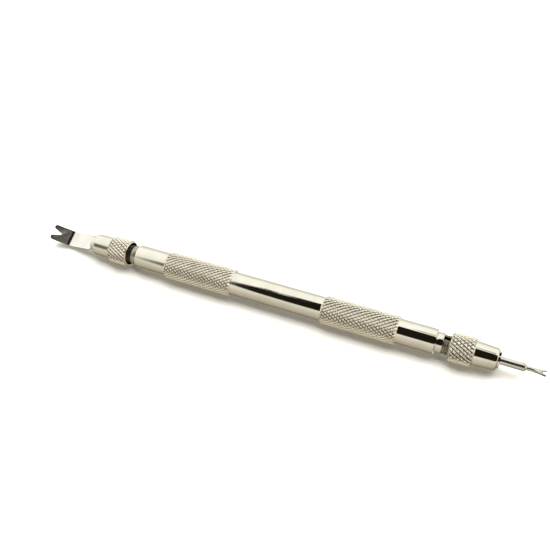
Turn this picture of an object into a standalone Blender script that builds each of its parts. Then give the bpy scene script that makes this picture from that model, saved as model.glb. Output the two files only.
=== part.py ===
"""Double-ended spring bar tool: a tubular handle with a split collet, a knurled
clamping nut and a changeable steel tip at each end.

Run with: blender --background --python part.py

Units are metres, +Z is up and the tool's axis lies along X. The wide fork is at -X
and the fine fork is at +X. The tool rests on its two grips, on the plane Z = 0.
"""

from math import cos, pi, radians, sin, tan

import bmesh
import bpy
from mathutils import Vector

MM = 0.001

# Overall layout, in distances from the middle of the handle
FORK_REACH = 71.9 * MM
PIN_REACH = 68.1 * MM
HANDLE_HALF = 42.0 * MM
GRIP_START = 12.7 * MM
GRIP_LENGTH = 19.9 * MM

# Handle
TUBE_RADIUS = 3.25 * MM
GRIP_RADIUS = 3.75 * MM
GRIP_CHAMFER = 0.4 * MM
SHANK_RADIUS = 2.25 * MM
SHANK_LENGTH = 12.0 * MM

# Collet
COLLAR_RADIUS = 2.65 * MM
COLLAR_LENGTH = 1.75 * MM
THREAD_RADIUS = 2.5 * MM
THREAD_LENGTH = 8.6 * MM
JAW_ROOT_RADIUS = 2.15 * MM
JAW_TIP_RADIUS = 2.1 * MM
JAW_LENGTH = 15.45 * MM
PIN_SLOT_WIDTH = 1.0 * MM
PIN_SLOT_TILT = radians(-15.0)
BLADE_SLOT_WIDTH = 0.6 * MM

# Clamping nut, whose seat is the distance from the handle's end to its rear face
PIN_NUT_SEAT = 3.5 * MM
FORK_NUT_SEAT = 2.9 * MM
NUT_RADIUS = 3.7 * MM
NUT_CHAMFER = 0.4 * MM
NUT_BAND_LENGTH = 5.9 * MM
NUT_LENGTH = 11.45 * MM
NUT_RECESS_RADIUS = 3.2 * MM
NUT_RECESS_DEPTH = 2.0 * MM
NOSE_ROOT_RADIUS = 3.1 * MM
PIN_NOSE_TIP_RADIUS = 2.8 * MM
FORK_NOSE_TIP_RADIUS = 3.0 * MM
NOSE_ROUNDING = 0.75 * MM
MOUTH_RADIUS = 2.22 * MM
LIP_LENGTH = 0.5 * MM

# Closing bush, the taper ring that the nut's lip pushes over the jaws
BUSH_RADIUS = 2.5 * MM
BUSH_LENGTH = 4.4 * MM

# Wide fork, a bent steel strip
BLADE_WIDTH = 4.6 * MM
BLADE_THICKNESS = 0.5 * MM
TANG_WIDTH = 3.4 * MM
TANG_LENGTH = 9.5 * MM
FORK_LENGTH = 6.4 * MM
BLADE_DIP = radians(16.0)
FORK_RISE = radians(19.0)
BLADE_ROLL = radians(10.0)
NOTCH_DEPTH = 2.1 * MM
NOTCH_HALF_MOUTH = 0.9 * MM

# Fine fork, a turned steel pin with a flattened end
PIN_RADIUS = 1.0 * MM
PIN_TANG = 12.0 * MM
THIN_RADIUS = 0.55 * MM
THIN_START = 63.2 * MM
FINE_FORK_LENGTH = 2.9 * MM
FINE_FORK_WIDTH = 1.8 * MM
FINE_FORK_THICKNESS = 0.45 * MM
FINE_NOTCH_DEPTH = 1.2 * MM

# Fits
RUNNING_FIT = 0.05 * MM
FACE_GAP = 0.1 * MM
EDGE = 0.15 * MM

SEGMENTS = 32
HALF_STEP = pi / SEGMENTS
MERGE = 0.000001

# The facets stand a flat on the ground, so the axis is one apothem up.
AXIS_HEIGHT = GRIP_RADIUS * cos(HALF_STEP)
MIDDLE_X = (FORK_REACH - PIN_REACH) / 2
MIDDLE = Vector((MIDDLE_X, 0, AXIS_HEIGHT))

PARTS = "spring_bar_tool"
CUTTERS = "cutters"

NICKEL = ((0.74, 0.72, 0.65, 1), 0.16, 1.0)
KNURLED_NICKEL = ((0.70, 0.67, 0.58, 1), 0.32, 1.0)
BRIGHT_STEEL = ((0.68, 0.68, 0.66, 1), 0.22, 1.0)
TURNED_STEEL = ((0.60, 0.60, 0.56, 1), 0.26, 1.0)


def clear_scene():
    for obj in list(bpy.data.objects):
        bpy.data.objects.remove(obj, do_unlink=True)


def make_collection(name):
    collection = bpy.data.collections.new(name)
    bpy.context.scene.collection.children.link(collection)
    return collection


def make_material(name, look):
    colour, roughness, metallic = look
    material = bpy.data.materials.new(name)
    material.use_nodes = True
    shader = material.node_tree.nodes["Principled BSDF"]
    shader.inputs["Base Color"].default_value = colour
    shader.inputs["Roughness"].default_value = roughness
    shader.inputs["Metallic"].default_value = metallic
    return material


def add_object(name, mesh, collection):
    obj = bpy.data.objects.new(name, mesh)
    bpy.data.collections[collection].objects.link(obj)
    return obj


def add_part(name, mesh, look, parent):
    """A node of the tool, placed in the frame of the parent empty."""
    obj = add_object(name, mesh, PARTS)
    mesh.materials.append(make_material(name, look))
    obj.parent = parent
    return obj


def add_frame(name, side):
    """An empty at the middle of the handle whose +Z runs out along one end."""
    empty = add_object(name, None, PARTS)
    empty.location = MIDDLE
    empty.rotation_euler = (0, side * pi / 2, 0)
    return empty


def profile_mesh(name, profile, closed):
    """A turned shape's half section: points of (distance along the axis, radius)."""
    mesh = bpy.data.meshes.new(name)
    verts = [(r * cos(HALF_STEP), r * sin(HALF_STEP), z) for z, r in profile]
    edges = [(i, i + 1) for i in range(len(verts) - 1)]
    if closed:
        edges.append((len(verts) - 1, 0))
    mesh.from_pydata(verts, edges, [])
    return mesh


def turn(obj):
    """Revolve the object's half section round its own Z."""
    screw = obj.modifiers.new("Turned", "SCREW")
    screw.axis = "Z"
    screw.angle = 2 * pi
    screw.steps = SEGMENTS
    screw.render_steps = SEGMENTS
    screw.use_merge_vertices = True
    screw.merge_threshold = MERGE
    screw.use_smooth_shade = True
    return obj


def turned_part(name, profile, look, parent, closed=True):
    return turn(add_part(name, profile_mesh(name, profile, closed), look, parent))


def cut(obj, cutter):
    boolean = obj.modifiers.new("Cut", "BOOLEAN")
    boolean.operation = "DIFFERENCE"
    boolean.solver = "EXACT"
    boolean.object = cutter
    cutter.hide_render = True
    cutter.display_type = "WIRE"


def box_cutter(name, size, centre, turn_z, parent):
    mesh = bpy.data.meshes.new(name)
    box = bmesh.new()
    bmesh.ops.create_cube(box, size=1)
    bmesh.ops.scale(box, vec=Vector(size), verts=box.verts)
    bmesh.ops.translate(box, vec=Vector(centre), verts=box.verts)
    box.to_mesh(mesh)
    box.free()
    cutter = add_object(name, mesh, CUTTERS)
    cutter.parent = parent
    cutter.rotation_euler = (0, 0, turn_z)
    return cutter


def plate(outline, thickness):
    """A flat bar in the XY plane, centred on it, from the points round its edge."""
    bar = bmesh.new()
    low = [bar.verts.new((x, y, -thickness / 2)) for x, y in outline]
    face = bar.faces.new(low)
    top = bmesh.ops.extrude_face_region(bar, geom=[face])["geom"]
    raised = [v for v in top if isinstance(v, bmesh.types.BMVert)]
    bmesh.ops.translate(bar, vec=Vector((0, 0, thickness)), verts=raised)
    bmesh.ops.recalc_face_normals(bar, faces=bar.faces)
    return bar


def arc(centre, radius, start, end, count):
    """Points round a circle's arc, in the plane, from one angle to another."""
    angles = [radians(start + (end - start) * i / count) for i in range(count + 1)]
    return [(centre[0] + radius * cos(a), centre[1] + radius * sin(a)) for a in angles]


def mirrored(points):
    return [(x, -y) for x, y in reversed(points)]


def make_handle(parent):
    """The plain tube that everything else is fitted to."""
    bore = SHANK_RADIUS + RUNNING_FIT
    profile = [
        (HANDLE_HALF, bore),
        (HANDLE_HALF, TUBE_RADIUS - EDGE),
        (HANDLE_HALF - EDGE, TUBE_RADIUS),
        (-HANDLE_HALF + EDGE, TUBE_RADIUS),
        (-HANDLE_HALF, TUBE_RADIUS - EDGE),
        (-HANDLE_HALF, bore),
    ]
    return turned_part("handle_tube", profile, NICKEL, parent)


def make_grip(end, parent):
    """A knurled sleeve pressed over the tube, chamfered at both ends."""
    near, far = GRIP_START, GRIP_START + GRIP_LENGTH
    inside = TUBE_RADIUS + RUNNING_FIT
    profile = [
        (far, inside),
        (far, GRIP_RADIUS - GRIP_CHAMFER),
        (far - GRIP_CHAMFER, GRIP_RADIUS),
        (near + GRIP_CHAMFER, GRIP_RADIUS),
        (near, GRIP_RADIUS - GRIP_CHAMFER),
        (near, inside),
    ]
    return turned_part("grip_sleeve_" + end, profile, KNURLED_NICKEL, parent)


def collet_profile(bore):
    """Jaws, thread, collar and shank, from the jaws' tips back into the handle."""
    tips = HANDLE_HALF + JAW_LENGTH
    thread_end = HANDLE_HALF + THREAD_LENGTH
    collar_end = HANDLE_HALF + COLLAR_LENGTH
    seat = HANDLE_HALF + FACE_GAP
    outside = [
        (tips, JAW_TIP_RADIUS - EDGE),
        (tips - EDGE, JAW_TIP_RADIUS),
        (thread_end + THREAD_RADIUS - JAW_ROOT_RADIUS, JAW_ROOT_RADIUS),
        (thread_end, THREAD_RADIUS),
        (collar_end, THREAD_RADIUS),
        (collar_end, COLLAR_RADIUS),
        (seat, COLLAR_RADIUS),
        (seat, SHANK_RADIUS),
        (HANDLE_HALF - SHANK_LENGTH, SHANK_RADIUS),
        (HANDLE_HALF - SHANK_LENGTH, 0),
    ]
    if not bore:
        return [(tips, 0)] + outside
    floor = tips - PIN_TANG - FACE_GAP
    return [(floor, 0), (floor, bore), (tips, bore)] + outside


def make_collet(end, bore, slot_width, slot_tilt, parent):
    """A split chuck: one slot through the thread and the jaws makes two jaws."""
    collet = turned_part(
        "collet_" + end, collet_profile(bore), NICKEL, parent, closed=False
    )
    slot_start = HANDLE_HALF + COLLAR_LENGTH + FACE_GAP
    slot_end = HANDLE_HALF + JAW_LENGTH + 1 * MM
    size = (3 * THREAD_RADIUS, slot_width, slot_end - slot_start)
    centre = (0, 0, (slot_start + slot_end) / 2)
    cut(collet, box_cutter("slot_" + end, size, centre, slot_tilt, parent))
    return collet


def make_nut(end, seat, tip_radius, parent):
    """The clamping nut: a knurled band, then a smooth nose that narrows to the mouth."""
    rear = HANDLE_HALF + seat
    band_end = rear + NUT_BAND_LENGTH
    front = rear + NUT_LENGTH
    bore = THREAD_RADIUS + RUNNING_FIT
    profile = [
        (front - LIP_LENGTH, bore),
        (front - LIP_LENGTH, MOUTH_RADIUS),
        (front, MOUTH_RADIUS),
        (front, tip_radius - 0.45 * MM),
        (front - 0.1 * NOSE_ROUNDING, tip_radius - 0.25 * MM),
        (front - 0.4 * NOSE_ROUNDING, tip_radius - 0.08 * MM),
        (front - NOSE_ROUNDING, tip_radius),
        (band_end, NOSE_ROOT_RADIUS),
        (band_end, NUT_RADIUS - NUT_CHAMFER),
        (band_end - NUT_CHAMFER, NUT_RADIUS),
        (rear + NUT_CHAMFER, NUT_RADIUS),
        (rear, NUT_RADIUS - 0.8 * NUT_CHAMFER),
        (rear, NUT_RECESS_RADIUS),
        (rear + NUT_RECESS_DEPTH, NUT_RECESS_RADIUS),
        (rear + NUT_RECESS_DEPTH, bore),
    ]
    return turned_part("clamping_nut_" + end, profile, KNURLED_NICKEL, parent)


def make_bush(end, seat, parent):
    """The taper ring behind the nut's lip that squeezes the jaws shut."""
    front = HANDLE_HALF + seat + NUT_LENGTH - LIP_LENGTH - FACE_GAP
    back = front - BUSH_LENGTH
    profile = [
        (front, JAW_TIP_RADIUS + FACE_GAP),
        (front, BUSH_RADIUS - EDGE),
        (front - EDGE, BUSH_RADIUS),
        (back, BUSH_RADIUS),
        (back, JAW_ROOT_RADIUS + FACE_GAP),
    ]
    return turned_part("closing_bush_" + end, profile, BRIGHT_STEEL, parent)


def blade_outline():
    """The strip's edge in plan: X runs outwards from the jaws' tips, Y is across."""
    half, tang = BLADE_WIDTH / 2, TANG_WIDTH / 2
    tip = FORK_REACH - HANDLE_HALF - JAW_LENGTH
    round_tip = (half - NOTCH_HALF_MOUTH) / 2
    tine = (tip - round_tip, NOTCH_HALF_MOUTH + round_tip)
    upper = [(-TANG_LENGTH, tang), (0.1 * MM, tang), (0.1 * MM + half - tang, half)]
    upper += arc(tine, round_tip, 90, -60, 6)
    notch = arc((tip - NOTCH_DEPTH, 0), 0.25 * MM, 80, -80, 4)
    # the notch's rounded bottom opens outwards, so its arc bulges inwards
    bottom = tip - NOTCH_DEPTH
    bottom_arc = [(2 * bottom - x, y) for x, y in notch]
    return upper + bottom_arc + mirrored(upper)


def blade_height(x):
    """How far the bent strip's middle lies above the axis at a distance out."""
    bend = FORK_REACH - HANDLE_HALF - JAW_LENGTH - FORK_LENGTH
    dipped = -max(0, min(x, bend)) * tan(BLADE_DIP)
    return dipped + max(0, x - bend) * tan(FORK_RISE)


def make_blade(parent):
    """The wide fork: a flat tang and blade, bent up at the forked end."""
    strip = plate(blade_outline(), BLADE_THICKNESS)
    bend = FORK_REACH - HANDLE_HALF - JAW_LENGTH - FORK_LENGTH
    for x in (0, bend):
        geometry = strip.verts[:] + strip.edges[:] + strip.faces[:]
        bmesh.ops.bisect_plane(
            strip, geom=geometry, plane_co=(x, 0, 0), plane_no=(1, 0, 0), dist=MERGE
        )
    for vert in strip.verts:
        vert.co.z += blade_height(vert.co.x)
    mesh = bpy.data.meshes.new("fork_blade")
    strip.to_mesh(mesh)
    strip.free()
    blade = add_part("fork_blade", mesh, BRIGHT_STEEL, parent)
    blade.location = (0, 0, HANDLE_HALF + JAW_LENGTH)
    # plan X becomes the outward axis, and the strip's top faces up, rolled to the front
    blade.rotation_euler = (0, -pi / 2, pi - BLADE_ROLL)
    return blade


def fine_fork_outline():
    """The flattened end of the pin in plan, from its root to two pointed tines."""
    root = PIN_REACH - FINE_FORK_LENGTH - 1.0 * MM
    half = FINE_FORK_WIDTH / 2
    upper = [
        (root, 0.8 * THIN_RADIUS),
        (PIN_REACH - FINE_FORK_LENGTH, 0.9 * THIN_RADIUS),
        (PIN_REACH - 0.1 * MM, half),
        (PIN_REACH, half - 0.1 * MM),
        (PIN_REACH, half - 0.4 * MM),
    ]
    return upper + [(PIN_REACH - FINE_NOTCH_DEPTH, 0)] + mirrored(upper)


def make_pin(parent):
    """The fine fork: a stepped round pin joined to its flattened, notched end."""
    inner = HANDLE_HALF + JAW_LENGTH - PIN_TANG
    waist = PIN_REACH - FINE_FORK_LENGTH
    profile = [
        (waist + 0.5 * MM, 0),
        (waist + 0.5 * MM, 0.4 * THIN_RADIUS),
        (waist, THIN_RADIUS),
        (THIN_START + 0.4 * MM, THIN_RADIUS),
        (THIN_START, PIN_RADIUS),
        (inner + EDGE, PIN_RADIUS),
        (inner, PIN_RADIUS - EDGE),
        (inner, 0),
    ]
    pin = turned_part("fork_pin", profile, TURNED_STEEL, parent, closed=False)
    flat = plate(fine_fork_outline(), FINE_FORK_THICKNESS)
    mesh = bpy.data.meshes.new("fine_fork")
    flat.to_mesh(mesh)
    flat.free()
    tip = add_object("fine_fork", mesh, CUTTERS)
    tip.parent = parent
    tip.rotation_euler = (0, -pi / 2, 0)
    cut(pin, tip)
    pin.modifiers["Cut"].operation = "UNION"
    return pin


def main():
    clear_scene()
    make_collection(PARTS)
    make_collection(CUTTERS)
    pin_frame = add_frame("pin_end_frame", 1)
    fork_frame = add_frame("fork_end_frame", -1)
    make_handle(pin_frame)
    for end, frame in (("pin_end", pin_frame), ("fork_end", fork_frame)):
        make_grip(end, frame)
    make_collet("pin_end", PIN_RADIUS + RUNNING_FIT, PIN_SLOT_WIDTH, PIN_SLOT_TILT, pin_frame)
    make_collet("fork_end", 0, BLADE_SLOT_WIDTH, pi / 2 - BLADE_ROLL, fork_frame)
    for end, seat, tip_radius, frame in (
        ("pin_end", PIN_NUT_SEAT, PIN_NOSE_TIP_RADIUS, pin_frame),
        ("fork_end", FORK_NUT_SEAT, FORK_NOSE_TIP_RADIUS, fork_frame),
    ):
        make_nut(end, seat, tip_radius, frame)
        make_bush(end, seat, frame)
    make_blade(fork_frame)
    make_pin(pin_frame)


main()
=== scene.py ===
"""Looks for the spring bar tool: knurled, threaded and bent surfaces built round the CAD frame.

Lengths are metres. Each end of the tool is built in its own frame, with its origin in the
middle of the handle and its +Z running outwards along the tool's axis, so "out" is always
a distance from the middle of the handle.
"""

from math import cos, pi, radians, sin, tan

import bmesh
import bpy
from mathutils import Matrix, Vector


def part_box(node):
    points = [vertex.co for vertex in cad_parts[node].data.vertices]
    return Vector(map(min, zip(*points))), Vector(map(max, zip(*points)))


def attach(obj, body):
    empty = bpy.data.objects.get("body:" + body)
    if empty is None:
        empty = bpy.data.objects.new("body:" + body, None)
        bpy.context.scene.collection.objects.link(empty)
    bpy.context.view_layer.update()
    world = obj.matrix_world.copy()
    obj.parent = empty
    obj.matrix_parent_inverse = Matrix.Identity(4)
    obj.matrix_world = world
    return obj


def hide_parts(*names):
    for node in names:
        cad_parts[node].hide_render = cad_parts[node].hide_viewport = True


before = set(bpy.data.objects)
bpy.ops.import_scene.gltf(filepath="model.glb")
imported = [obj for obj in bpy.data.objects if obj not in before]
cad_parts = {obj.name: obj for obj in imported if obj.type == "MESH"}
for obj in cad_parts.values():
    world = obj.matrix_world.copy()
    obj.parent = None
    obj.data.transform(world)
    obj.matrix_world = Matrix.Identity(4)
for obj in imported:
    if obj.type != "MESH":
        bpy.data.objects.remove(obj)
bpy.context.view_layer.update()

MM = 0.001
WELD = 0.000002
ENDS = {"pin_end": 1, "fork_end": -1}
TUBE_LOW, TUBE_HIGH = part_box("handle_tube")
MIDDLE = (TUBE_LOW + TUBE_HIGH) / 2
ROUND = 96

# Sizes that the CAD model shares
HANDLE_HALF = (TUBE_HIGH.x - TUBE_LOW.x) / 2
SEAT_GAP = 0.1 * MM
SHANK_RADIUS = 2.25 * MM
THREAD_RADIUS = 2.5 * MM
COLLAR_RADIUS = 2.65 * MM
COLLAR_LENGTH = 1.75 * MM
THREAD_LENGTH = 8.6 * MM
JAW_ROOT_RADIUS = 2.15 * MM
JAW_TIP_RADIUS = 2.1 * MM
PIN_SLOT_TILT = radians(-15.0)
SLOT_WIDTH = {"pin_end": 1.0 * MM, "fork_end": 0.6 * MM}
# How far the wide fork is rolled about the axis, with its front edge lower
BLADE_ROLL = radians(10.0)
SLOT_TILT = {"pin_end": PIN_SLOT_TILT, "fork_end": pi / 2 - BLADE_ROLL}
NUT_RADIUS = 3.7 * MM
NUT_BAND_LENGTH = 5.9 * MM
NUT_RECESS_RADIUS = 3.2 * MM
NUT_RECESS_DEPTH = 2.0 * MM
NOSE_ROOT_RADIUS = 3.1 * MM
NOSE_TIP_RADIUS = {"pin_end": 2.8 * MM, "fork_end": 3.0 * MM}
MOUTH_RADIUS = 2.22 * MM
LIP_LENGTH = 0.5 * MM
CHAMFER = 0.4 * MM
RUNNING_FIT = 0.05 * MM
BLADE_THICKNESS = 0.5 * MM
BLADE_WIDTH = 4.6 * MM
TANG_WIDTH = 3.4 * MM
FORK_LENGTH = 6.4 * MM
BLADE_DIP = radians(16.0)
FORK_RISE = radians(19.0)
NOTCH_DEPTH = 2.1 * MM
NOTCH_HALF_MOUTH = 0.9 * MM
NOTCH_ROUNDING = 0.25 * MM
PIN_RADIUS = 1.0 * MM
THIN_RADIUS = 0.55 * MM
THIN_LENGTH = 4.9 * MM
FINE_FORK_LENGTH = 2.9 * MM
FINE_FORK_HALF_WIDTH = 0.9 * MM
FINE_FORK_HALF_THICKNESS = 0.225 * MM
FINE_NOTCH_DEPTH = 1.2 * MM

# Knurling: straight grooves of both hands on a grid of six steps to a diamond
STARTS = 24
STEPS = 6
GRIP_ROWS = 14
GRIP_GROOVES = (0.21 * MM, 0.15 * MM)
NUT_ROWS = 3
NUT_GROOVES = (0.11 * MM, 0.27 * MM)
GROOVE_SHAPE = (0.0, 0.55, 1.0, 1.0, 1.0, 0.55)

THREAD_PITCH = 0.5 * MM
THREAD_DEPTH = 0.27 * MM
THREAD_STEPS = 6


# ---------------------------------------------------------------- mesh helpers


def end_frame(end):
    """The world matrix of one end's frame."""
    return Matrix.Translation(MIDDLE) @ Matrix.Rotation(ENDS[end] * pi / 2, 4, "Y")


def out_range(node, end):
    """How far out a CAD node starts and stops."""
    low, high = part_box(node)
    outs = sorted(ENDS[end] * (x - MIDDLE.x) for x in (low.x, high.x))
    return outs[0], outs[1]


def rounded(profile, radius, closed=True):
    """The half section with each corner turned into a short curve."""
    points = [Vector(p) for p in profile]
    count = len(points)
    result = []
    for i, corner in enumerate(points):
        if not closed and i in (0, count - 1):
            result.append(tuple(corner))
            continue
        edges = []
        for other in (points[i - 1], points[(i + 1) % count]):
            reach = min(radius, 0.4 * (other - corner).length)
            edges.append(corner + (other - corner).normalized() * reach)
        middle = 0.25 * edges[0] + 0.5 * corner + 0.25 * edges[1]
        result += [tuple(edges[0]), tuple(middle), tuple(edges[1])]
    return result


def turned(profile, closed=True, columns=ROUND, relief=None):
    """Revolve a half section of (out, radius) points, as a bmesh in an end's frame.

    relief(out, angle) gives a surface radius that the section's own is held under.
    """
    shape = bmesh.new()
    rings = []
    for out, radius in profile:
        if radius < WELD:
            rings.append([shape.verts.new((0, 0, out))] * columns)
            continue
        ring = []
        for i in range(columns):
            angle = 2 * pi * i / columns
            r = radius if relief is None else min(radius, relief(out, angle))
            ring.append(shape.verts.new((r * cos(angle), r * sin(angle), out)))
        rings.append(ring)
    pairs = list(zip(rings, rings[1:]))
    if closed:
        pairs.append((rings[-1], rings[0]))
    for a, b in pairs:
        for i in range(columns):
            j = (i + 1) % columns
            corners = []
            for vert in (a[i], a[j], b[j], b[i]):
                if vert not in corners:
                    corners.append(vert)
            if len(corners) > 2:
                shape.faces.new(corners)
    bmesh.ops.recalc_face_normals(shape, faces=shape.faces)
    return shape


def split_quads(shape):
    """Split each quad across the diagonal that bends less, so grooves keep straight edges."""
    for face in [f for f in shape.faces if len(f.verts) == 4]:
        a, b, c, d = face.verts
        axis_ac = (a.co + c.co) / 2
        axis_bd = (b.co + d.co) / 2
        first, second = (a, c) if axis_ac.xy.length < axis_bd.xy.length else (b, d)
        bmesh.utils.face_split(face, first, second)


def piece(name, shape, end, material, sharp=30.0):
    """Turn a bmesh in an end's frame into a shaded object at rest in the world."""
    mesh = bpy.data.meshes.new(name)
    shape.transform(end_frame(end))
    shape.to_mesh(mesh)
    shape.free()
    mesh.shade_smooth()
    mesh.set_sharp_from_angle(angle=radians(sharp))
    obj = bpy.data.objects.new(name, mesh)
    bpy.context.scene.collection.objects.link(obj)
    mesh.materials.append(material)
    return obj


def box_shape(size, centre, turn_z):
    box = bmesh.new()
    bmesh.ops.create_cube(box, size=1)
    bmesh.ops.scale(box, vec=Vector(size), verts=box.verts)
    bmesh.ops.translate(box, vec=Vector(centre), verts=box.verts)
    turn = Matrix.Rotation(turn_z, 3, "Z")
    bmesh.ops.rotate(box, cent=(0, 0, 0), matrix=turn, verts=box.verts)
    return box


def carve(obj, cutter, sharp=30.0):
    """Take a cutter away from a piece and bake the result into its mesh."""
    boolean = obj.modifiers.new("Cut", "BOOLEAN")
    boolean.operation = "DIFFERENCE"
    boolean.solver = "EXACT"
    boolean.object = cutter
    bpy.context.view_layer.update()
    evaluated = obj.evaluated_get(bpy.context.evaluated_depsgraph_get())
    mesh = bpy.data.meshes.new_from_object(evaluated)
    obj.modifiers.clear()
    obj.data = mesh
    mesh.shade_smooth()
    mesh.set_sharp_from_angle(angle=radians(sharp))
    bpy.data.objects.remove(cutter, do_unlink=True)


def finish_piece(obj, node, body):
    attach(obj, body)
    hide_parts(node)


# ---------------------------------------------------------------- materials


class Nodes:
    """Short calls for building a material's node tree."""

    def __init__(self, name):
        self.material = bpy.data.materials.new(name)
        self.material.use_nodes = True
        self.tree = self.material.node_tree
        self.shader = self.tree.nodes["Principled BSDF"]
        self.coords = self.tree.nodes.new("ShaderNodeTexCoord").outputs["Object"]

    def add(self, kind, inputs=None, **settings):
        node = self.tree.nodes.new(kind)
        for key, value in settings.items():
            setattr(node, key, value)
        for key, value in (inputs or {}).items():
            if isinstance(value, bpy.types.NodeSocket):
                self.tree.links.new(value, node.inputs[key])
            else:
                node.inputs[key].default_value = value
        return node

    def noise(self, scale, stretch=(1, 1, 1), detail=3.0, seed=0.0):
        mapping = self.add(
            "ShaderNodeMapping",
            {"Vector": self.coords, "Scale": stretch, "Location": (seed, seed, seed)},
        )
        inputs = {"Vector": mapping.outputs[0], "Scale": scale, "Detail": detail}
        return self.add("ShaderNodeTexNoise", inputs).outputs["Fac"]

    def ramp(self, factor, stops):
        node = self.add("ShaderNodeValToRGB", {"Fac": factor})
        elements = node.color_ramp.elements
        while len(elements) < len(stops):
            elements.new(0.5)
        for element, (position, colour) in zip(elements, stops):
            element.position = position
            element.color = (*colour, 1)
        return node.outputs["Color"]

    def spread(self, factor, low, high, from_low=0.3, from_high=0.7):
        inputs = {
            "Value": factor,
            "From Min": from_low,
            "From Max": from_high,
            "To Min": low,
            "To Max": high,
        }
        return self.add("ShaderNodeMapRange", inputs).outputs["Result"]

    def mix(self, factor, first, second):
        node = self.add("ShaderNodeMix", data_type="RGBA")
        for key, value in ((0, factor), (6, first), (7, second)):
            if isinstance(value, bpy.types.NodeSocket):
                self.tree.links.new(value, node.inputs[key])
            else:
                node.inputs[key].default_value = value
        return node.outputs[2]

    def attribute(self, name):
        return self.add("ShaderNodeAttribute", attribute_name=name).outputs["Fac"]

    def finish(self, colour, roughness, bumps):
        self.tree.links.new(colour, self.shader.inputs["Base Color"])
        self.tree.links.new(roughness, self.shader.inputs["Roughness"])
        self.shader.inputs["Metallic"].default_value = 1.0
        normal = None
        for height, distance in bumps:
            inputs = {"Height": height, "Distance": distance, "Strength": 1.0}
            if normal is not None:
                inputs["Normal"] = normal
            normal = self.add("ShaderNodeBump", inputs).outputs["Normal"]
        self.tree.links.new(normal, self.shader.inputs["Normal"])
        return self.material


def turned_nickel(name, light, dark, rough):
    """Bright nickel plate over turned metal: fine rings round the axis and soft clouding."""
    n = Nodes(name)
    cloud = n.noise(220, detail=4.0)
    rings = n.noise(900, stretch=(6, 0.15, 0.15), detail=5.0, seed=3.0)
    specks = n.noise(2600, detail=6.0, seed=7.0)
    colour = n.ramp(cloud, ((0.32, dark), (0.62, light)))
    roughness = n.spread(cloud, rough * 1.35, rough * 0.85)
    return n.finish(colour, roughness, ((rings, 0.000004), (specks, 0.000002)))


def knurled_nickel(name, light, dark, groove_shade):
    """Nickel plate in cloudy tone, with painted shade darkening the grooves."""
    n = Nodes(name)
    cloud = n.noise(350, detail=4.0)
    grain = n.noise(5200, detail=5.0, seed=2.0)
    crest = n.ramp(cloud, ((0.30, dark), (0.66, light)))
    depth = n.spread(n.attribute("groove"), 0.0, 1.0, 0.34, 1.0)
    colour = n.mix(depth, crest, (*groove_shade, 1))
    roughness = n.spread(depth, 0.24, 0.55, 0.0, 1.0)
    return n.finish(colour, roughness, ((grain, 0.000010),))


def brushed_steel(name, light, dark, rough):
    """Bright steel with fine lines along the tool's axis."""
    n = Nodes(name)
    cloud = n.noise(300, detail=3.0)
    lines = n.noise(2400, stretch=(0.05, 1, 1), detail=5.0, seed=5.0)
    colour = n.ramp(cloud, ((0.30, dark), (0.65, light)))
    roughness = n.spread(lines, rough * 0.8, rough * 1.3)
    return n.finish(colour, roughness, ((lines, 0.000003),))


NICKEL = turned_nickel("bright_nickel", (0.74, 0.72, 0.66), (0.68, 0.66, 0.59), 0.08)
# Near-black metal: bare cut metal on the slot walls, darkened further there as painted shade, and
# painted shade inside the nuts and on the fork end's thread in the nut's recess.
BARE_AND_SHADE_METAL = turned_nickel("bare_metal_and_painted_shade", (0.10, 0.09, 0.07), (0.05, 0.045, 0.035), 0.45)
# The knurl's light and dark colours are set lighter than the smooth nickel's, as painted highlight
# on the crests; its third colour is painted shade in the grooves.
KNURLED = knurled_nickel(
    "knurled_nickel", (0.98, 0.93, 0.82), (0.84, 0.79, 0.68), (0.10, 0.085, 0.05)
)
# A darker copy of the nickel, as painted shade on the pin end's thread and the fork end's collar.
THREAD_SHADE_METAL = turned_nickel("thread_nickel_painted_shade", (0.50, 0.47, 0.40), (0.34, 0.31, 0.25), 0.30)
BLADE_STEEL = brushed_steel("blade_steel", (0.74, 0.73, 0.70), (0.68, 0.67, 0.63), 0.09)
PIN_STEEL = turned_nickel("pin_steel", (0.66, 0.66, 0.62), (0.50, 0.50, 0.46), 0.20)
BUSH_STEEL = turned_nickel("bush_steel", (0.62, 0.61, 0.57), (0.46, 0.45, 0.41), 0.28)


# ---------------------------------------------------------------- turned pieces


def knurl(first, length, rows, crest, grooves):
    """The radius left by grooves of both hands, over a stretch of rows of diamonds."""

    def depth_at(position, depth):
        step = round(position * STEPS) % STEPS
        return depth * (1 - GROOVE_SHAPE[step])

    def relief(out, angle):
        along = (out - first) / length * rows
        if not -0.01 < along < rows + 0.01:
            return 1.0
        around = STARTS * angle / (2 * pi)
        right_hand = depth_at(around - along, grooves[1])
        return crest - max(depth_at(around + along, grooves[0]), right_hand)

    return relief


def knurled_rows(first, length, rows, radius):
    """The half section's points along a knurled stretch, one for each grid step."""
    count = rows * STEPS
    return [(first + length * i / count, radius) for i in range(count + 1)]


def paint_grooves(obj, crest, depth, near, far):
    """Store how deep each point of a knurled stretch lies, for the painted shade in the grooves."""
    mesh = obj.data
    groove = mesh.attributes.new("groove", "FLOAT", "POINT")
    for vert, value in zip(mesh.vertices, groove.data):
        out = abs(vert.co.x - MIDDLE.x)
        radius = (vert.co - Vector((vert.co.x, MIDDLE.y, MIDDLE.z))).length
        inside = near < out < far and radius > crest - 1.2 * depth
        value.value = (crest - radius) / depth if inside else 0.0


def make_handle():
    low, high = out_range("handle_tube", "pin_end")
    bore = SHANK_RADIUS + RUNNING_FIT
    radius = (TUBE_HIGH.z - TUBE_LOW.z) / 2
    profile = [(high, bore), (high, radius), (low, radius), (low, bore)]
    tube = piece("tube", turned(rounded(profile, 0.18 * MM)), "pin_end", NICKEL)
    finish_piece(tube, "handle_tube", "handle")


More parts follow.
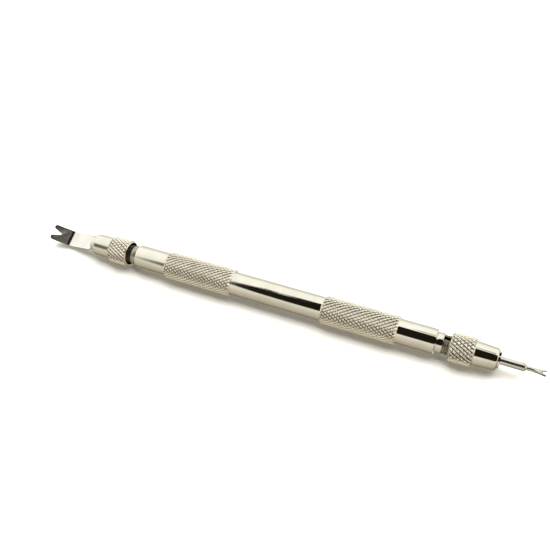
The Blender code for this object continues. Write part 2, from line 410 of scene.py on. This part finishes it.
def make_grip(end):
    node = "grip_sleeve_" + end
    near, far = out_range(node, end)
    low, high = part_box(node)
    crest = (high.y - low.y) / 2
    inside = (TUBE_HIGH.z - TUBE_LOW.z) / 2 + RUNNING_FIT
    shoulder = crest - CHAMFER - 0.02 * MM
    first, length = near + CHAMFER, far - near - 2 * CHAMFER
    band = knurled_rows(first, length, GRIP_ROWS, crest)
    profile = [(near, inside), (near, shoulder)] + band + [(far, shoulder), (far, inside)]
    relief = knurl(first, length, GRIP_ROWS, crest, GRIP_GROOVES)
    shape = turned(profile, columns=STARTS * STEPS, relief=relief)
    split_quads(shape)
    grip = piece("grip_" + end, shape, end, KNURLED, sharp=20)
    paint_grooves(grip, crest, max(GRIP_GROOVES), near, far)
    finish_piece(grip, node, "handle")


def thread(first, last, crest):
    """The radius left by a right-hand thread between two places along the axis."""

    def relief(out, angle):
        if not first < out < last:
            return 1.0
        turn = ((out - first) / THREAD_PITCH - angle / (2 * pi)) % 1.0
        return crest - THREAD_DEPTH * abs(2 * turn - 1)

    return relief


def make_collet(end):
    near, far = out_range("collet_" + end, end)
    seat = HANDLE_HALF + SEAT_GAP
    collar_end = HANDLE_HALF + COLLAR_LENGTH
    thread_end = HANDLE_HALF + THREAD_LENGTH
    neck = [(seat, SHANK_RADIUS), (seat, COLLAR_RADIUS), (collar_end, COLLAR_RADIUS)]
    neck += [(collar_end, SHANK_RADIUS)]
    count = round((thread_end - collar_end) / THREAD_PITCH * THREAD_STEPS)
    step = (thread_end - collar_end) / count
    rows = [(collar_end + 0.02 * MM + step * i, THREAD_RADIUS) for i in range(count)]
    jaws = [(thread_end + 0.35 * MM, JAW_ROOT_RADIUS), (far - 0.15 * MM, JAW_TIP_RADIUS)]
    jaws += [(far - 0.04 * MM, JAW_TIP_RADIUS - 0.05 * MM), (far, JAW_TIP_RADIUS - 0.16 * MM)]
    profile = [(near, 0), (near, SHANK_RADIUS)]
    profile += rounded(neck, 0.15 * MM, closed=False) + rows + jaws
    if end == "pin_end":
        bore = PIN_RADIUS + RUNNING_FIT
        bottom = out_range("fork_pin", end)[0] - SEAT_GAP
        profile += [(far, bore), (bottom, bore), (bottom, 0)]
    else:
        profile += [(far, 0)]
    relief = thread(collar_end + 0.05 * MM, thread_end - 0.05 * MM, THREAD_RADIUS)
    shape = turned(profile, closed=False, relief=relief)
    collet = piece("collet_jaws_" + end, shape, end, NICKEL, sharp=35)
    slot_start = collar_end + SEAT_GAP
    size = (6 * THREAD_RADIUS, SLOT_WIDTH[end], far + 1 * MM - slot_start)
    centre = (0, 0, (far + 1 * MM + slot_start) / 2)
    cutter = piece("slot_" + end, box_shape(size, centre, SLOT_TILT[end]), end, BARE_AND_SHADE_METAL)
    carve(collet, cutter, sharp=35)
    collet.data.materials.clear()
    for material in (NICKEL, THREAD_SHADE_METAL, BARE_AND_SHADE_METAL):
        collet.data.materials.append(material)
    tilt = SLOT_TILT[end]
    across = end_frame(end).to_3x3() @ Vector((-sin(tilt), cos(tilt), 0))
    bright, shaded_grey, bare_and_shade = 0, 1, 2
    # The thread at the pin end, and the collar at the fork end, get a darker copy of the nickel as
    # painted shade. The fork end's thread, in the nut's recess, gets the near-black metal as
    # painted shade.
    shaded_grey_from, shaded_grey_to = {"pin_end": (collar_end, thread_end), "fork_end": (seat, collar_end)}[end]
    for face in collet.data.polygons:
        centre = face.center - MIDDLE
        out, radius = ENDS[end] * centre.x, centre.yz.length
        face.material_index = bright
        if shaded_grey_from < out < shaded_grey_to and radius > JAW_ROOT_RADIUS:
            face.material_index = shaded_grey
        elif collar_end < out < thread_end and radius > JAW_ROOT_RADIUS:
            face.material_index = bare_and_shade
        # The slot walls get the near-black metal: bare cut metal, with painted shade in the slot.
        if out > slot_start - WELD and abs(centre.dot(across)) < SLOT_WIDTH[end] / 2 + WELD:
            face.material_index = bare_and_shade
    finish_piece(collet, "collet_" + end, "handle")


def make_nut(end):
    node = "clamping_nut_" + end
    rear, front = out_range(node, end)
    bore = THREAD_RADIUS + RUNNING_FIT
    band_end = rear + NUT_BAND_LENGTH
    nose_tip = NOSE_TIP_RADIUS[end]
    first, length = rear + CHAMFER, NUT_BAND_LENGTH - 2 * CHAMFER
    rear_chamfer = [(rear, NUT_RADIUS - CHAMFER), (rear + CHAMFER / 2, NUT_RADIUS - CHAMFER / 2)]
    front_chamfer = [(rear + band_end - out, radius) for out, radius in reversed(rear_chamfer)]
    nose = [
        (band_end, NOSE_ROOT_RADIUS),
        (front - 0.75 * MM, nose_tip),
        (front - 0.30 * MM, nose_tip - 0.08 * MM),
        (front - 0.07 * MM, nose_tip - 0.25 * MM),
        (front, nose_tip - 0.45 * MM),
        (front, MOUTH_RADIUS),
        (front - LIP_LENGTH, MOUTH_RADIUS),
    ]
    recess = rear + NUT_RECESS_DEPTH
    inside = [(front - LIP_LENGTH, bore), (recess, bore)]
    inside += [(recess, NUT_RECESS_RADIUS), (rear, NUT_RECESS_RADIUS)]
    band = knurled_rows(first, length, NUT_ROWS, NUT_RADIUS)
    profile = rear_chamfer + band + front_chamfer
    profile += rounded(nose, 0.12 * MM, closed=False) + inside
    relief = knurl(first, length, NUT_ROWS, NUT_RADIUS, NUT_GROOVES)
    shape = turned(profile, columns=STARTS * STEPS, relief=relief)
    split_quads(shape)
    nut = piece("nut_" + end, shape, end, KNURLED, sharp=20)
    paint_grooves(nut, NUT_RADIUS, max(NUT_GROOVES), rear, band_end)
    nut.data.materials.append(NICKEL)
    nut.data.materials.append(BARE_AND_SHADE_METAL)
    # The nut's bore and rear recess get the near-black metal as painted shade.
    nose_index, inside_index = 1, 2
    slack = 0.02 * MM
    for face in nut.data.polygons:
        off_axis = face.center - MIDDLE
        out, radius = abs(off_axis.x), off_axis.yz.length
        in_recess = out < recess + slack and radius < NUT_RECESS_RADIUS + slack
        if in_recess or (radius < bore + slack and out < front - slack):
            face.material_index = inside_index
        elif out > band_end - slack:
            face.material_index = nose_index
    finish_piece(nut, node, end + "_nut")


def make_bush(end):
    node = "closing_bush_" + end
    back, front = out_range(node, end)
    profile = [
        (front, JAW_TIP_RADIUS + SEAT_GAP),
        (front, THREAD_RADIUS),
        (back, THREAD_RADIUS),
        (back, JAW_ROOT_RADIUS + SEAT_GAP),
    ]
    bush = piece("bush_" + end, turned(rounded(profile, 0.15 * MM)), end, BUSH_STEEL)
    finish_piece(bush, node, end + "_bush")


# ---------------------------------------------------------------- steel tips


def arc(centre, radius, start, end, count):
    angles = [radians(start + (end - start) * i / count) for i in range(count + 1)]
    return [(centre[0] + radius * cos(a), centre[1] + radius * sin(a)) for a in angles]


def mirrored(points):
    return [(x, -y) for x, y in reversed(points)]


def plate(outline, thickness):
    """A flat bar, centred on its plane, from the points round its edge."""
    bar = bmesh.new()
    face = bar.faces.new([bar.verts.new((x, y, -thickness / 2)) for x, y in outline])
    top = bmesh.ops.extrude_face_region(bar, geom=[face])["geom"]
    raised = [v for v in top if isinstance(v, bmesh.types.BMVert)]
    bmesh.ops.translate(bar, vec=Vector((0, 0, thickness)), verts=raised)
    bmesh.ops.recalc_face_normals(bar, faces=bar.faces)
    return bar


def soft_step(x, at, spread):
    """Zero before a bend, then a straight rise after it, joined by a curve."""
    if x < at - spread:
        return 0.0
    if x > at + spread:
        return x - at
    return (x - at + spread) ** 2 / (4 * spread)


def make_blade():
    tang_start, tip = out_range("fork_blade", "fork_end")
    jaws = out_range("collet_fork_end", "fork_end")[1]
    half, tang = BLADE_WIDTH / 2, TANG_WIDTH / 2
    bend = tip - FORK_LENGTH
    round_tip = (half - NOTCH_HALF_MOUTH) / 2
    upper = [(tang_start, tang), (jaws + 0.1 * MM, tang)]
    upper += [(jaws + 0.1 * MM + half - tang, half)]
    upper += arc((tip - round_tip, NOTCH_HALF_MOUTH + round_tip), round_tip, 90, -60, 10)
    bottom = tip - NOTCH_DEPTH
    for turn in (10, -20, -50):
        inward = NOTCH_ROUNDING * sin(radians(turn)) - NOTCH_ROUNDING
        upper.append((bottom + inward, NOTCH_ROUNDING * cos(radians(turn))))
    outline = upper + [(bottom - 2 * NOTCH_ROUNDING, 0)] + mirrored(upper)
    strip = plate(outline, BLADE_THICKNESS)
    bends = (jaws, bend)
    spreads = (0.6 * MM, 1.4 * MM)
    for at, spread in zip(bends, spreads):
        for i in range(9):
            geometry = strip.verts[:] + strip.edges[:] + strip.faces[:]
            place = (at + spread * (i / 4 - 1), 0, 0)
            bmesh.ops.bisect_plane(
                strip, geom=geometry, plane_co=place, plane_no=(1, 0, 0), dist=WELD
            )
    dip, rise = tan(BLADE_DIP), tan(FORK_RISE)
    for vert in strip.verts:
        before = soft_step(vert.co.x, jaws, spreads[0]) - soft_step(vert.co.x, bend, spreads[1])
        vert.co.z += rise * soft_step(vert.co.x, bend, spreads[1]) - dip * before
    rolled = Matrix.Rotation(pi - BLADE_ROLL, 4, "Z")
    strip.transform(rolled @ Matrix.Rotation(-pi / 2, 4, "Y"))
    blade = piece("blade", strip, "fork_end", BLADE_STEEL, sharp=35)
    bevel = blade.modifiers.new("Edges", "BEVEL")
    bevel.width = 0.06 * MM
    bevel.segments = 2
    bevel.limit_method = "ANGLE"
    bevel.angle_limit = radians(50)
    bevel.use_clamp_overlap = True
    bevel.harden_normals = True
    finish_piece(blade, "fork_blade", "wide_fork")


def make_pin():
    inner, tip = out_range("fork_pin", "pin_end")
    thin_start = tip - THIN_LENGTH
    waist = tip - FINE_FORK_LENGTH
    fork_half, fork_thick = FINE_FORK_HALF_WIDTH, FINE_FORK_HALF_THICKNESS
    # each section: distance out, half width, half thickness
    sections = [
        (inner, PIN_RADIUS - 0.15 * MM, PIN_RADIUS - 0.15 * MM),
        (inner + 0.15 * MM, PIN_RADIUS, PIN_RADIUS),
        (thin_start - 0.08 * MM, PIN_RADIUS, PIN_RADIUS),
        (thin_start, PIN_RADIUS - 0.06 * MM, PIN_RADIUS - 0.06 * MM),
        (thin_start + 0.36 * MM, THIN_RADIUS + 0.03 * MM, THIN_RADIUS + 0.03 * MM),
        (thin_start + 0.45 * MM, THIN_RADIUS, THIN_RADIUS),
        (waist - 0.1 * MM, THIN_RADIUS, THIN_RADIUS),
        (waist + 0.3 * MM, THIN_RADIUS, 0.44 * MM),
        (waist + 0.8 * MM, 0.60 * MM, 0.30 * MM),
        (waist + 1.3 * MM, 0.68 * MM, fork_thick),
        (tip - 0.12 * MM, fork_half, fork_thick),
        (tip, fork_half - 0.12 * MM, fork_thick - 0.05 * MM),
    ]
    columns = 48
    shape = bmesh.new()
    rings = []
    for out, wide, thick in sections:
        power = 1.0 if wide - thick < 0.02 * MM else 0.45
        ring = []
        for i in range(columns):
            c, s = cos(2 * pi * i / columns), sin(2 * pi * i / columns)
            y = wide * abs(c) ** power * (1 if c > 0 else -1)
            x = thick * abs(s) ** power * (1 if s > 0 else -1)
            ring.append(shape.verts.new((x, y, out)))
        rings.append(ring)
    for a, b in zip(rings, rings[1:]):
        for i in range(columns):
            j = (i + 1) % columns
            shape.faces.new((a[i], a[j], b[j], b[i]))
    shape.faces.new(rings[0])
    shape.faces.new(rings[-1])
    bmesh.ops.recalc_face_normals(shape, faces=shape.faces)
    pin = piece("pin", shape, "pin_end", PIN_STEEL, sharp=35)
    notch = [(tip - FINE_NOTCH_DEPTH, 0), (tip + 0.5 * MM, 0.72 * MM), (tip + 0.5 * MM, -0.72 * MM)]
    wedge = plate(notch, 2 * MM)
    wedge.transform(Matrix.Rotation(-pi / 2, 4, "Y"))
    carve(pin, piece("notch", wedge, "pin_end", PIN_STEEL), sharp=35)
    finish_piece(pin, "fork_pin", "fine_fork")


# ---------------------------------------------------------------- stage


def make_floor():
    floor_mesh = bpy.data.meshes.new("floor")
    plane = bmesh.new()
    bmesh.ops.create_grid(plane, x_segments=2, y_segments=2, size=3.0)
    plane.to_mesh(floor_mesh)
    plane.free()
    paper = bpy.data.objects.new("floor", floor_mesh)
    bpy.context.scene.collection.objects.link(paper)
    paper.location.z = -0.02 * MM
    material = bpy.data.materials.new("white_paper")
    material.use_nodes = True
    shader = material.node_tree.nodes["Principled BSDF"]
    shader.inputs["Base Color"].default_value = (0.90, 0.89, 0.87, 1)
    shader.inputs["Roughness"].default_value = 0.9
    shader.inputs["Specular IOR Level"].default_value = 0.1
    floor_mesh.materials.append(material)
    paper.visible_glossy = False


# What the tool mirrors, by height: 0 is straight down, a quarter the horizon in front,
# a half the zenith, three quarters the horizon behind and 1 straight down again.
SKY_STOPS = (
    (0.00, (0.10, 0.09, 0.06)),
    (0.07, (0.36, 0.32, 0.24)),
    (0.16, (0.62, 0.56, 0.45)),
    (0.26, (0.78, 0.73, 0.62)),
    (0.34, (1.02, 0.98, 0.86)),
    (0.55, (1.35, 1.33, 1.24)),
    (0.70, (1.35, 1.33, 1.24)),
    (0.75, (0.90, 0.90, 0.80)),
    (0.83, (0.80, 0.79, 0.70)),
    (0.88, (1.10, 1.08, 0.98)),
    (1.00, (0.30, 0.28, 0.22)),
)
# The share of the sky's light that reaches the paper, which keeps the shadow deep
SKY_ON_PAPER = 0.76
# The dark gap overhead. A height is in degrees up from the horizon on the front (-Y) side,
# and a place along is the X part of a direction. The gap's middle sinks by GAP_TILT degrees
# for each unit of place past TILT_START, on the wide fork's side.
GAP_HEIGHT, GAP_HALF_HEIGHT = 71.5, 36.0
GAP_ALONG, GAP_HALF_ALONG = 0.25, 0.73
GAP_TILT, TILT_START = 28.0, -0.1
GAP_COLOUR = (0.014, 0.012, 0.006)
# A shade that carries the gap on past its end, on the wide fork's side. TAIL_SHADE is the
# share of the sky's light that is left in it.
TAIL_HEIGHT, TAIL_HALF_HEIGHT = 45.0, 25.0
TAIL_ALONG, TAIL_HALF_ALONG = -0.60, 0.15
TAIL_SHADE = 0.15


def make_world():
    """A white studio with a dark gap overhead, which the smooth round parts mirror."""
    world = bpy.data.worlds.new("studio")
    bpy.context.scene.world = world
    world.use_nodes = True
    tree = world.node_tree

    def math(operation, first, second=0.0):
        node = tree.nodes.new("ShaderNodeMath")
        node.operation = operation
        for socket, value in zip(node.inputs, (first, second)):
            if isinstance(value, bpy.types.NodeSocket):
                tree.links.new(value, socket)
            else:
                socket.default_value = value
        return node.outputs[0]

    def patch(height, half_height, place, half_along, inner, outer, squareness, tilt=0.0):
        """0 inside a rounded patch of the sky and 1 outside it."""
        past_start = math("MINIMUM", math("SUBTRACT", along, TILT_START))
        tilted = math("MULTIPLY", past_start, radians(tilt))
        middle = math("ADD", tilted, radians(height))
        across = math("DIVIDE", math("SUBTRACT", angle, middle), radians(half_height))
        beside = math("DIVIDE", math("SUBTRACT", along, place), half_along)
        ends = math("POWER", math("ABSOLUTE", beside), squareness)
        distance = math("ADD", math("POWER", across, 2.0), ends)
        edge = tree.nodes.new("ShaderNodeMapRange")
        edge.interpolation_type = "SMOOTHSTEP"
        tree.links.new(distance, edge.inputs["Value"])
        edge.inputs["From Min"].default_value = inner
        edge.inputs["From Max"].default_value = outer
        return edge.outputs[0]

    def blend(factor, first, second):
        node = tree.nodes.new("ShaderNodeMix")
        node.data_type = "RGBA"
        tree.links.new(factor, node.inputs[0])
        for socket, value in ((node.inputs[6], first), (node.inputs[7], second)):
            if isinstance(value, bpy.types.NodeSocket):
                tree.links.new(value, socket)
            else:
                socket.default_value = (*value, 1)
        return node.outputs[2]

    split = tree.nodes.new("ShaderNodeSeparateXYZ")
    direction = tree.nodes.new("ShaderNodeTexCoord").outputs["Generated"]
    tree.links.new(direction, split.inputs[0])
    along, away, up = split.outputs
    angle = math("ARCTAN2", up, math("MULTIPLY", away, -1.0))
    height = math("FRACT", math("ADD", math("DIVIDE", angle, 2 * pi), 1.25))
    sky = tree.nodes.new("ShaderNodeValToRGB")
    tree.links.new(height, sky.inputs["Fac"])
    elements = sky.color_ramp.elements
    while len(elements) < len(SKY_STOPS):
        elements.new(0.5)
    for element, (position, colour) in zip(elements, SKY_STOPS):
        element.position = position
        element.color = (*colour, 1)
    tail = patch(TAIL_HEIGHT, TAIL_HALF_HEIGHT, TAIL_ALONG, TAIL_HALF_ALONG, 0.1, 1.2, 2.0)
    gap = patch(GAP_HEIGHT, GAP_HALF_HEIGHT, GAP_ALONG, GAP_HALF_ALONG, 0.80, 1.05, 5.0, GAP_TILT)
    daylight = math("ADD", math("MULTIPLY", tail, 1 - TAIL_SHADE), TAIL_SHADE)
    shaded = blend(daylight, GAP_COLOUR, sky.outputs[0])
    background = tree.nodes["Background"]
    tree.links.new(blend(gap, GAP_COLOUR, shaded), background.inputs["Color"])
    path = tree.nodes.new("ShaderNodeLightPath")
    less = math("MULTIPLY", path.outputs["Is Diffuse Ray"], 1 - SKY_ON_PAPER)
    tree.links.new(math("SUBTRACT", 1.0, less), background.inputs["Strength"])


KEY_POWER = 32.0
KEY_PLACE = (0.1, 0.50, 1.1)
KEY_SIZE = (1.3, 1.1)
FLAG_HEIGHT = 200 * MM
FLAG_DEPTH = 44 * MM
FLAGS = {
    # name: (place along the tool, place behind it, length along it, brightness by place)
    "blade_flag": (
        -61 * MM,
        10 * MM,
        30 * MM,
        ((0.30, 0.02), (0.40, 0.05), (0.47, 0.40), (0.60, 0.75)),
    ),
    "tip_flag": (90 * MM, 97 * MM, 36 * MM, ((0.0, 0.55), (1.0, 0.55))),
}


def make_lights():
    """One wide soft lamp overhead, and two cards placed for the steel tips to mirror."""
    key = bpy.data.lights.new("key", "AREA")
    key.energy = KEY_POWER
    key.shape = "RECTANGLE"
    key.size, key.size_y = KEY_SIZE
    key.color = (1.0, 0.98, 0.94)
    lamp = bpy.data.objects.new("key", key)
    bpy.context.scene.collection.objects.link(lamp)
    lamp.location = MIDDLE + Vector(KEY_PLACE)
    lamp.rotation_euler = (MIDDLE - lamp.location).to_track_quat("-Z", "Y").to_euler()
    lamp.visible_glossy = False
    for name, (along, behind, length, stops) in FLAGS.items():
        card = bmesh.new()
        bmesh.ops.create_grid(card, x_segments=1, y_segments=1, size=0.5)
        bmesh.ops.scale(card, vec=(length, FLAG_DEPTH, 1), verts=card.verts)
        mesh = bpy.data.meshes.new(name)
        card.to_mesh(mesh)
        card.free()
        flag = bpy.data.objects.new(name, mesh)
        bpy.context.scene.collection.objects.link(flag)
        flag.location = MIDDLE + Vector((along, behind, FLAG_HEIGHT))
        material = bpy.data.materials.new(name)
        material.use_nodes = True
        nodes = material.node_tree.nodes
        glow = nodes.new("ShaderNodeEmission")
        ramp = nodes.new("ShaderNodeValToRGB")
        elements = ramp.color_ramp.elements
        while len(elements) < len(stops):
            elements.new(0.5)
        for element, (position, light) in zip(elements, stops):
            element.position = position
            element.color = (light, 0.97 * light, 0.88 * light, 1)
        split = nodes.new("ShaderNodeSeparateXYZ")
        place = nodes.new("ShaderNodeTexCoord").outputs["Generated"]
        material.node_tree.links.new(place, split.inputs[0])
        material.node_tree.links.new(split.outputs[0], ramp.inputs["Fac"])
        material.node_tree.links.new(ramp.outputs["Color"], glow.inputs["Color"])
        material.node_tree.links.new(glow.outputs[0], nodes["Material Output"].inputs["Surface"])
        mesh.materials.append(material)
        flag.visible_camera = False
        flag.visible_diffuse = False
        flag.visible_shadow = False


def make_camera():
    """A 46 mm lens looking down on the tool from in front and towards the fine fork."""
    forward = Vector((-0.30493, 0.4422, -0.8435)).normalized()
    up = Vector((-0.2563, 0.8149, 0.5199))
    right = forward.cross(up).normalized()
    up = right.cross(forward)
    data = bpy.data.cameras.new("camera")
    data.sensor_width = 36.0
    data.lens = 45.84
    data.clip_start = 0.005
    data.clip_end = 20.0
    camera = bpy.data.objects.new("camera", data)
    bpy.context.scene.collection.objects.link(camera)
    place = MIDDLE + Vector((53.92, -77.04, 157.96)) * MM
    facing = Matrix((right, up, -forward)).transposed().to_4x4()
    camera.matrix_world = Matrix.Translation(place) @ facing
    bpy.context.scene.camera = camera


bpy.context.scene.view_settings.view_transform = "Standard"
make_camera()
make_world()
make_lights()
make_floor()
make_handle()
for tool_end in ENDS:
    make_grip(tool_end)
    make_collet(tool_end)
    make_nut(tool_end)
    make_bush(tool_end)
make_blade()
make_pin()
